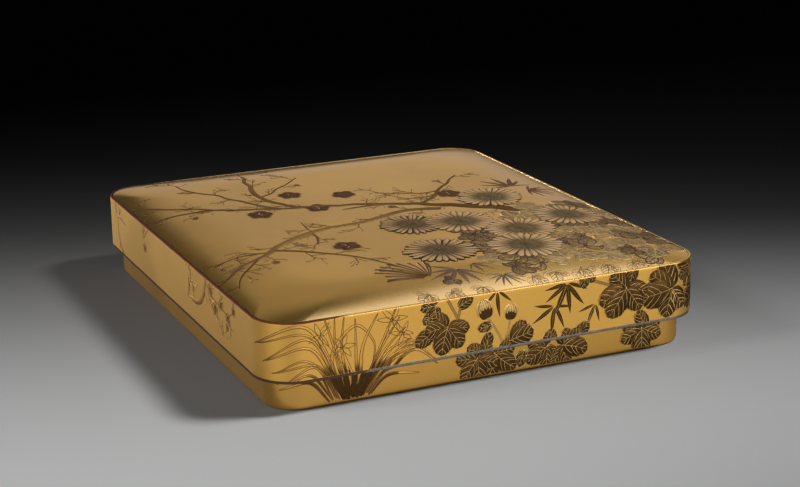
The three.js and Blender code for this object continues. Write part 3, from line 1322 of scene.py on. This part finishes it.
# What is drawn where. Places are in millimetres: along X and Y on the top, and along the wall and up on the
# sides, where the front runs from -92 to 92.
topPlan = {
    "seed": 5,
    "petalSeed": 1,
    "materials": [
        ("leaves", "oliveLeaf", "dark_ornament"),
        ("veins", "leafVein", "gold_ornament"),
        ("boughs", "bough", "dark_ornament"),
        ("flowers", "blossom", "dark_ornament"),
        ("lines", "fineLine", "dark_ornament"),
        ("discs", "disc", "dark_ornament"),
        ("petals", "petal", "gold_ornament"),
        ("bamboo", "blossom", "dark_ornament"),
    ],
    "chrysanthemums": [
        # x, y, radius, turn, darkness
        (62.5, 2, 17.5, 0.2, 0.05),
        (4, -26, 16.5, 0.5, 0.35),
        (28, -32, 17.5, 0.9, 0.0),
        (83, -44, 18, 0.4, 0.15),
        (49, -56, 18, 0.1, 0.0),
        (-2, -71, 18.5, 0.7, 0.25),
        (38, -81, 18.5, 0.3, 0.0),
    ],
    "bloomLevel": 0.23,
    "bloomStep": 0.01,
    "fanBloom": {"centre": (-24, -104), "radius": 22, "turn": 1.95, "spread": 2.1, "count": 13, "level": 0.1},
    "leafBed": {
        "area": [(8, -96), (30, -113), (106, -120), (110, -36), (92, -10), (70, -18), (58, -34), (16, -46)],
        "spacing": 12,
        "jitter": 2.5,
        "sizes": (9.5, 12.5),
        "lobes": 5,
        "level": 0.06,
        "step": 0.03,
        "layers": 4,
        "clearOfBlooms": 0.7,     # as a share of a bloom's radius
        "inks": [("veins", 0.9), ("lines", 0.2), ("lines", 0.1)],
        "shades": (0.45, 1.05),
    },
    "blossoms": [(-57, 24, 7), (-30, 52, 6.6), (-26, 23, 6.8), (-4, 41, 6.6), (-39, -45, 7.2), (46, 18, 7.2)],
    "bamboo": [
        # x, y, angle, length, leaves, spread
        (83, 17, 1.7, 18, 7, 2.9),
        (88, 8, 5.9, 15, 7, 2.8),
        (-8, -99, 4.1, 17, 7, 3.1),
        (2, -95, 5.0, 11, 4, 1.8),
        (10, -111, 4.6, 11, 9, 3.3),
    ],
    "smallLeaves": [(-14, -109, 3.4, 7)],
    "outlinedLeaves": [
        # x, y, angle, size
        (-32, -119, 3.6, 8),
        (-20, -120, 5.2, 7),
        (-5, -120, 4.2, 8),
        (22, -118, 5.4, 8),
        (34, -117, 4.4, 9),
        (47, -118, 5.0, 9),
        (61, -118, 4.2, 10),
        (75, -119, 5.3, 9),
    ],
    "boughs": [
        # knots, widths, shades, twigs
        ([(84, -48), (64, -24), (40, -4), (18, 10), (-8, 21), (-42, 29), (-72, 42), (-97, 62), (-108, 79)],
         (9.5, 8.5, 6.5, 4.2, 3.0, 2.6, 2.0, 1.6, 1.2), (0.15, 0.2, 0.25, 0.4, 0.5, 0.45, 0.4, 0.35), 16),
        ([(30, -6), (12, -1), (-8, -9), (-38, -14), (-60, -24), (-78, -40), (-93, -49), (-110, -62)],
         (4.5, 4.6, 4.2, 4.6, 4.4, 3.4, 2.4, 1.6), (0.4, 0.65, 0.9, 1.0, 0.9, 0.65, 0.35), 14),
        ([(-30, 27), (-38, 32), (-45, 52), (-43, 80), (-37, 112)], (2.8, 3.2, 3.0, 2.2, 1.4),
         (0.5, 0.6, 0.6, 0.45), 6),
        ([(-44, 30), (-54, 44), (-64, 66), (-76, 84), (-80, 108)], (2.2, 1.9, 1.6, 1.4, 1.0),
         (0.45, 0.4, 0.35), 7),
        ([(-70, 41), (-92, 46), (-112, 46)], (1.8, 1.5, 1.1), (0.4, 0.35), 4),
        ([(-44, 56), (-28, 70), (-14, 84)], (1.2, 0.9, 0.6), (0.4, 0.35), 3),
        ([(20, 8), (12, 14), (-16, 14)], (3, 2.2, 1.0), (0.45, 0.5), 0),
        ([(24, 6), (32, 12), (44, 26), (66, 50)], (2.6, 2.2, 1.7, 1.0), (0.35, 0.4, 0.35), 4),
        ([(44, 26), (30, 26), (12, 36)], (1.3, 1.0, 0.6), (0.35, 0.35), 4),
        ([(40, 20), (28, 16), (18, 22)], (1.0, 0.8, 0.5), (0.35, 0.35), 2),
        ([(-74, -36), (-54, -50), (-40, -66), (-30, -86)], (2.4, 2.0, 1.4, 0.7), (0.55, 0.55, 0.45), 6),
        ([(-44, 2), (-45, -18), (-50, -36)], (0.9, 1.1, 1.0), (0.35, 0.35), 4),
        ([(-76, -39), (-88, -36), (-103, -39)], (1.3, 1.0, 0.5), (0.4, 0.3), 5),
        ([(-84, -45), (-95, -57), (-104, -74)], (1.2, 0.9, 0.5), (0.4, 0.3), 4),
    ],
}

wallPlan = {
    "seed": 8,
    "petalSeed": 2,
    "clearOfRim": 0.1,
    "clearOfRidge": 0.5,
    "materials": [
        ("leaves", "darkLeaf", "dark_ornament"),
        ("veins", "leafVein", "gold_ornament"),
        ("boughs", "bough", "dark_ornament"),
        ("lines", "fineLine", "dark_ornament"),
        ("blades", "blade", "gold_ornament"),
        ("bamboo", "darkLeaf", "dark_ornament"),
    ],
    "boughs": [
        # on the left side
        ([(leftWall(100), 44), (leftWall(96), 35), (leftWall(83), 33)], (1.3, 1.1, 0.8), (0.45, 0.4), 1),
        ([(leftWall(96), 35), (leftWall(95), 22), (leftWall(87), 16)], (1.1, 0.9, 0.6), (0.45, 0.4), 1),
        ([(leftWall(46), 46), (leftWall(53), 33), (leftWall(38), 44)], (0.7, 0.9, 0.6), (0.5, 0.45), 1),
        ([(leftWall(-48), 44), (leftWall(-46), 37), (leftWall(-41), 30), (leftWall(-34), 26.5),
          (leftWall(-24), 26)],
         (3.4, 3.2, 3.0, 2.2, 1.0), (0.6, 0.55, 0.5, 0.45), 2),
        ([(leftWall(-20), 25), (leftWall(-24), 32), (leftWall(-26), 40)], (0.8, 0.8, 0.5), (0.45, 0.4), 3),
        ([(leftWall(-48), 39), (leftWall(-60), 35), (leftWall(-74), 33), (leftWall(-86), 37)],
         (0.9, 0.9, 0.8, 0.5), (0.5, 0.4), 5),
        ([(leftWall(-50), 36), (leftWall(-60), 29), (leftWall(-70), 21)], (0.8, 0.8, 0.4), (0.45, 0.4), 3),
    ],
    "blossoms": [
        (leftWall(-54), 38, 3.2),
        (leftWall(-60), 31, 3.4),
        (leftWall(-68), 35, 2.8),
        (leftWall(-77), 31, 3.0),
        (leftWall(-85), 37, 2.4),
        (leftWall(48), 30, 2.6),
    ],
    "lowestLeaf": 0.08,
    "leafStep": 0.02,
    "leafOverlap": 0.75,          # of two leaves' sizes together, within which one lies over the other
    "leafShades": (0.3, 0.6),
    "leaves": [
        # along, up, angle, size, lobes; each lies over those before it
        (104, 39, 2.4, 13, 5),
        (124, 36, 2.9, 14, 5),
        (112, 24, 3.3, 15, 5),
        (90, 29.5, 3.5, 18, 5),
        (71, 43, 4.4, 8, 1),
        (66, 32.5, 4.22, 16, 5),
        (45, 44, 4.5, 9, 3),
        (78, 14, 1.9, 9, 1),
        (79, 9.5, 4.6, 13.5, 5),
        (16, 9, 4.4, 9, 1),
        (41, 15, 0.7, 9, 1),
        (28, 13, 1.7, 8, 1),
        (27, 9, 3.8, 12.5, 5),
        (38, 9, 6.1, 13.5, 5),
        (-7, 16, 1.3, 9.5, 1),
        (-8, 12, 2.3, 11, 3),
        (2, 10, 5.5, 13.5, 5),
        (-9, 9, 3.9, 14.5, 5),
        (8, 19.5, 0.7, 9.5, 1),
        (7, 18, 0.05, 12, 1),
        (-4, 27, 3.4, 7.5, 1),
        (-33, 36, 3.9, 7, 1),
        (-32, 40, 3.2, 9, 3),
        (-19.5, 38, 0.5, 8, 1),
        (-33.5, 27.5, 3.6, 12, 1),
        (-26, 28, 4.25, 13.5, 5),
        (140, 18, 3.4, 11, 5),
        (152, 33, 2.8, 9, 3),
    ],
    "stems": [
        [(-18, 45), (-20, 33), (-24, 29)],
        [(-27, 45), (-22, 36), (-20, 32)],
        [(-32, 37), (-27, 32), (-23, 29)],
        [(3, 16), (5, 20), (12, 23)],
        [(60, 36), (52, 39), (46, 42)],
    ],
    "buds": [
        # stalk, centre, angle, size
        ((3, 17), (-5.5, 31), 1.9, 8.6),
        ((3, 17), (6.2, 28.5), 1.45, 7),
    ],
    "bamboo": [
        # along, up, angle, length, leaves, spread
        (-0.5, 43, 4.75, 12, 3, 1.5),
        (35.5, 41, 4.6, 15.5, 6, 2.6),
        (29, 31, 4.55, 13.5, 5, 3.0),
        (50.5, 29, 4.25, 12, 3, 1.5),
        (185, 34, 4.6, 13, 5, 2.4),
        (206, 24, 4.4, 11, 4, 2.0),
    ],
    "orchid": {
        "fans": [
            # leaves; where the first and the last one have their root, crown and tip
            (9, ((-73, 3), (-80, 2)), ((-91, 40), (-89, 11)), ((-117, 34), (-103, 5))),
            (5, ((-75, 3), (-67, 3)), ((-82, 26), (-67, 28)), ((-86, 44), (-58, 44))),
            (10, ((-70, 3), (-61, 2)), ((-60, 27), (-51, 9)), ((-47, 44), (-35, 6))),
            (3, ((-66, 4), (-62, 3)), ((-46, 26), (-44, 20)), ((-30, 22), (-29, 9))),
        ],
        "rootJitter": 0.8,
        "crownJitter": 2,
        "tipJitter": 3.5,
        "arch": [(-74, 4), (-81, 24), (-70, 37), (-61, 28), (-62, 17)],
        "clump": {
            "from": -78,
            "to": -62,
            "blades": 34,
            "roots": (1.2, 3),        # heights
            "tops": (11, 22),
            "rootSpread": 0.3,
            "topSpread": 0.95,
            "bendAt": (0.4, 0.55),    # shares of the way across and up
            "width": 2.2,
            "rootFrom": 0.12,
            "level": 0.1,
            "step": 0.012,
            "layers": 6,
            "topShade": 0.35,
            "edgeShade": 0.2,
        },
        "stalkRoot": (-67, 8),
        "stalkBend": 0.6,
        "flowers": [(-86, 35, 6.5), (-76, 28, 7), (-52, 37, 7), (-47, 30, 6)],
    },
}


# Putting the figures in their places.
def newSheets(plan):
    return {name: newSheet() for name, material, slot in plan["materials"]}


def insideArea(x, y, area):
    inside = False
    for (x1, y1), (x2, y2) in zip(area, area[1:] + area[:1]):
        if (y1 > y) != (y2 > y) and x < (x2 - x1) * (y - y1) / (y2 - y1) + x1:
            inside = not inside
    return inside


def paintLeafBed(sheets, plan, rng):
    # leaves in staggered rows from the back to the front, each a little off its place
    bed = plan["leafBed"]
    area = bed["area"]
    spacing = bed["spacing"]
    jitter = bed["jitter"]
    lowX, lowY = (min(corner[i] for corner in area) for i in (0, 1))
    highX, highY = (max(corner[i] for corner in area) for i in (0, 1))
    rows = int((highY - lowY) / spacing) + 1
    columns = int((highX - lowX) / spacing) + 1
    for row in range(rows):
        for column in range(columns):
            x = lowX + (column + 0.5 * (row % 2)) * spacing + rng.uniform(-jitter, jitter)
            y = highY - row * spacing + rng.uniform(-jitter, jitter)
            angle = rng.uniform(0, 2 * math.pi)
            size = rng.uniform(*bed["sizes"])
            level = bed["level"] + bed["step"] * ((column + 2 * row) % bed["layers"])
            underBloom = any(
                math.hypot(x - bloomX, y - bloomY) < radius * bed["clearOfBlooms"]
                for bloomX, bloomY, radius, turn, darkness in plan["chrysanthemums"]
            )
            if insideArea(x, y, area) and not underBloom:
                ink, inkShade = rng.choice(bed["inks"])
                shade = rng.uniform(*bed["shades"])
                addLeaf(sheets["leaves"], sheets[ink], (x, y), angle, size, bed["lobes"], level, shade,
                        inkShade, rng, bold=True)


def paintTop():
    plan = topPlan
    rng = random.Random(plan["seed"])
    petalDraws = random.Random(plan["petalSeed"])
    sheets = newSheets(plan)
    for knots, widths, shades, twigs in plan["boughs"]:
        addBough(sheets, knots, widths, shades, twigs, level=0.13, twigLength=14, rng=rng)
    for x, y, radius in plan["blossoms"]:
        addBlossom(sheets["flowers"], sheets["lines"], (x, y), radius, rng.uniform(0, 2), level=0.1,
                   rng=petalDraws)
    paintLeafBed(sheets, plan, rng)
    for x, y, angle, size in plan["smallLeaves"]:
        addLeaf(sheets["flowers"], sheets["veins"], (x, y), angle, size, lobes=3, level=0.1, shade=0.2,
                veinShade=0.5, rng=rng)
    for x, y, angle, size in plan["outlinedLeaves"]:
        # only the lines of these are kept
        addLeaf(newSheet(), sheets["lines"], (x, y), angle, size, lobes=3, level=0.03, shade=0.5,
                veinShade=0.8, rng=rng)
    addFanBloom(sheets["petals"], sheets["lines"], rng=rng, **plan["fanBloom"])
    for number, (x, y, radius, turn, darkness) in enumerate(plan["chrysanthemums"]):
        level = plan["bloomLevel"] + plan["bloomStep"] * number
        addChrysanthemum(sheets["petals"], sheets["discs"], sheets["lines"], (x, y), radius, turn, darkness,
                         level, rng)
    for x, y, angle, length, leaves, spread in plan["bamboo"]:
        addBambooSprig(sheets["bamboo"], sheets["veins"], (x, y), angle, length, leaves, spread, shade=0.9,
                       rng=rng)
    for name, material, slot in plan["materials"]:
        layOn("top_" + name, sheets[name], onTop, laid[material], slot)


def between(ends, share, rng, jitter):
    # a place between two others, a little off the straight line
    return np.array([
        start + (end - start) * share + rng.uniform(-jitter, jitter)
        for start, end in zip(*ends)
    ])


def paintOrchid(sheets, orchid, rng):
    # fans of arching leaves over a thick dark clump
    shape = orchidShape
    firstLevel, levelStep = shape["levels"]
    number = 0
    for count, roots, crowns, tips in orchid["fans"]:
        for k in range(count):
            share = (k + 0.5) / count
            root = between(roots, share, rng, orchid["rootJitter"])
            crown = between(crowns, share, rng, orchid["crownJitter"])
            tip = between(tips, share, rng, orchid["tipJitter"])
            line = smoothLine([root, crown, tip], step=1.2)
            number += 1
            level = firstLevel + levelStep * (number % shape["layers"])
            width = rng.uniform(*shape["widths"])
            addOrchidBlade(sheets, line, width, level, rng.uniform(*shape["darkUpTo"]))
    addOrchidBlade(sheets, smoothLine(orchid["arch"], step=1.2), width=2.0, level=0.014, darkUpTo=17)
    clump = orchid["clump"]
    middle = (clump["from"] + clump["to"]) / 2
    across, upward = clump["bendAt"]
    for k in range(clump["blades"]):
        lean = rng.uniform(-1, 1) * (clump["to"] - clump["from"])
        root = (middle + lean * clump["rootSpread"], rng.uniform(*clump["roots"]))
        top = (middle + lean * clump["topSpread"], rng.uniform(*clump["tops"]))
        bend = (root[0] * (1 - across) + top[0] * across, top[1] * upward)
        addStroke(
            sheets["leaves"],
            smoothLine([root, bend, top]),
            lambda s: clump["width"] * lanceWidth(clump["rootFrom"] + (1 - clump["rootFrom"]) * s),
            clump["level"] + clump["step"] * (k % clump["layers"]),
            lambda s, side: clump["topShade"] * s - clump["edgeShade"] * side,
        )
    stalkX, stalkY = orchid["stalkRoot"]
    for x, y, size in orchid["flowers"]:
        stalk = smoothLine([(stalkX, stalkY), ((stalkX + x) / 2, y * orchid["stalkBend"]), (x, y)], step=1.2)
        addStroke(sheets["lines"], stalk, width=0.5, rise=0.07, tone=0.35)
        addOrchidFlower(sheets["lines"], (x, y), size, rng.uniform(0, 2), level=0.09, rng=rng)


def paintWalls():
    plan = wallPlan
    rng = random.Random(plan["seed"])
    petalDraws = random.Random(plan["petalSeed"])
    sheets = newSheets(plan)
    paintOrchid(sheets, plan["orchid"], rng)
    for line in plan["stems"]:
        addStroke(sheets["boughs"], smoothLine(line), width=1.5, rise=0.09,
                  tone=lambda s, side: 0.35 - 0.3 * side, broad=True)
    placed = []
    for along, up, angle, size, lobes in plan["leaves"]:
        # each leaf lies over the highest of those that it covers
        below = [
            top
            for x, y, reach, top in placed
            if math.hypot(x - along, y - up) < (reach + size) * plan["leafOverlap"]
        ]
        level = max(below, default=plan["lowestLeaf"]) + plan["leafStep"]
        shade = rng.uniform(*plan["leafShades"])
        addLeaf(sheets["leaves"], sheets["veins"], (along, up), angle, size, lobes, level, shade,
                veinShade=0.75, rng=rng)
        placed.append((along, up, size, level + leafShape["lobeStep"] * (lobes - 1)))
    for stalk, centre, angle, size in plan["buds"]:
        addBud(sheets["leaves"], sheets["veins"], stalk, centre, angle, size)
    for along, up, angle, length, leaves, spread in plan["bamboo"]:
        addBambooSprig(sheets["bamboo"], sheets["veins"], (along, up), angle, length, leaves, spread,
                       shade=0.3, rng=rng)
    for knots, widths, shades, twigs in plan["boughs"]:
        addBough(sheets, knots, widths, shades, twigs, level=0.05, twigLength=9, rng=rng)
    for along, up, radius in plan["blossoms"]:
        addBlossom(None, sheets["lines"], (along, up), radius, rng.uniform(0, 2), level=0.14, rng=petalDraws)
    lidLimits = (rim["high"] / mm + plan["clearOfRim"], lid["ridgeTop"] / mm - plan["clearOfRidge"])
    boxLimits = (box["footRound"] / mm, rim["high"] / mm)
    for name, material, slot in plan["materials"]:
        layOn("lid_" + name, sheets[name], onWall(lid), laid[material], slot, lidLimits)
        layOn("box_" + name, sheets[name], onWall(box), laid[material], slot, boxLimits)


paintTop()
print("top painted")
paintWalls()
print("walls painted")


studio = {
    "floorGrey": 0.6,
    "farShadedGrey": 0.17,                # painted shade of the paper behind the box
    "fade": (20 * mm, 330 * mm),    # where painted shade darkens the paper, behind the middle of the box
    "floorHalf": 6,
    "floorRoughness": 0.8,
    "worldGrey": 0.002,
    "boxBounces": 0,
    "floorBounces": 4,
    "boxLights": [
        # name, azimuth, elevation, distance, width, height, power, spread in degrees, aim, tint
        ("backSoftbox", 149.5, 13.5, 1.6, 1.42, 0.64, 0.7, 110, (0, 0, 0)),
        ("backUpper", 150, 32, 1.6, 1.25, 0.42, 0.27, 110, (0, 0, 0)),
        ("overheadSoftbox", 122, 56, 1.3, 0.8, 0.6, 1.15, 100, (0, 0, 0), (0.95, 1.13, 1.95)),
        ("frontLow", 22, 8, 1.7, 2.4, 0.45, 10.2, 100, (0, 0, 0)),
        ("cornerLow", -58, 8, 1.7, 1.3, 0.45, 4.0, 100, (0, 0, 0)),
        ("leftBackLow", 206, 6, 1.7, 0.9, 0.4, 11.6, 100, (0, 0, 0), (0.94, 1.08, 2.1)),
        ("leftHigh", -100, 38, 1.6, 1.0, 0.6, 0.8, 100, (0, 0, 0)),
        ("frontFill", -30, 35, 1.6, 1.0, 0.8, 1.0, 100, (0, 0, 0)),
    ],
    "floorLights": [
        ("floorKey", 72, 50, 1.8, 0.25, 1.4, 0.42, 16, (0.05, -0.22, 0)),
        ("floorRight", 76, 50, 1.8, 0.2, 0.3, 0.05, 12, (0.16, -0.18, 0)),
        ("floorFill", -24, 72, 1.6, 1.8, 0.3, 0.12, 28, (-0.1, -0.4, 0)),
        ("floorLeft", 80, 48, 1.8, 0.35, 0.8, 0.5, 20, (-0.5, -0.14, 0)),
        ("floorShade", -100, 40, 1.6, 0.4, 0.5, 0.3, 40, (-0.25, -0.14, 0)),
    ],
}


def addLight(bounces, name, azimuth, elevation, distance, width, height, power, spread, aim, tint=(1, 1, 1)):
    data = bpy.data.lights.new(name, "AREA")
    data.color = tint
    data.cycles.max_bounces = bounces
    data.shape = "RECTANGLE"
    data.size = width
    data.size_y = height
    data.energy = power
    data.spread = math.radians(spread)
    light = bpy.data.objects.new(name, data)
    bpy.context.scene.collection.objects.link(light)
    way = viewDirection(azimuth, elevation)
    light.location = Vector(aim) + way * distance
    light.rotation_euler = way.to_track_quat("Z", "Y").to_euler()
    return light


def makeFloor():
    # painted shade: the paper's colour darkens behind the box, where less light falls
    half = studio["floorHalf"]
    corners = [(-half, -half, 0), (half, -half, 0), (half, half, 0), (-half, half, 0)]
    floor = meshObject("floor", corners, [(0, 1, 2, 3)])
    material, tree, shader = newMaterial("floorPaper", {"metallic": 0})
    place = tree.nodes.new("ShaderNodeNewGeometry")
    behind = tree.nodes.new("ShaderNodeVectorMath")
    behind.operation = "DOT_PRODUCT"
    behind.inputs[1].default_value = -viewDirection(cameraView["azimuth"], 0)
    tree.links.new(place.outputs["Position"], behind.inputs[0])
    grey = addRange(tree, behind.outputs["Value"], *studio["fade"], studio["floorGrey"], studio["farShadedGrey"])
    tree.links.new(grey, shader.inputs["Base Color"])
    shader.inputs["Roughness"].default_value = studio["floorRoughness"]
    floor.data.materials.append(material)
    return floor


def makeStudio():
    # The box and the paper have lights of their own, so that the paper stays grey in the box's shadow.
    pieces = bpy.data.collections.new("boxPieces")
    for piece in bpy.context.scene.objects:
        if piece.type == "MESH":
            pieces.objects.link(piece)
    paper = bpy.data.collections.new("paper")
    paper.objects.link(makeFloor())
    for light in studio["boxLights"]:
        addLight(studio["boxBounces"], *light).light_linking.receiver_collection = pieces
    for light in studio["floorLights"]:
        addLight(studio["floorBounces"], *light).light_linking.receiver_collection = paper
    world = bpy.data.worlds.new("studio")
    bpy.context.scene.world = world
    world.use_nodes = True
    background = world.node_tree.nodes["Background"]
    background.inputs["Color"].default_value = (*[studio["worldGrey"]] * 3, 1)
    bpy.context.scene.view_settings.view_transform = "Standard"


makeStudio()
print("studio lit")
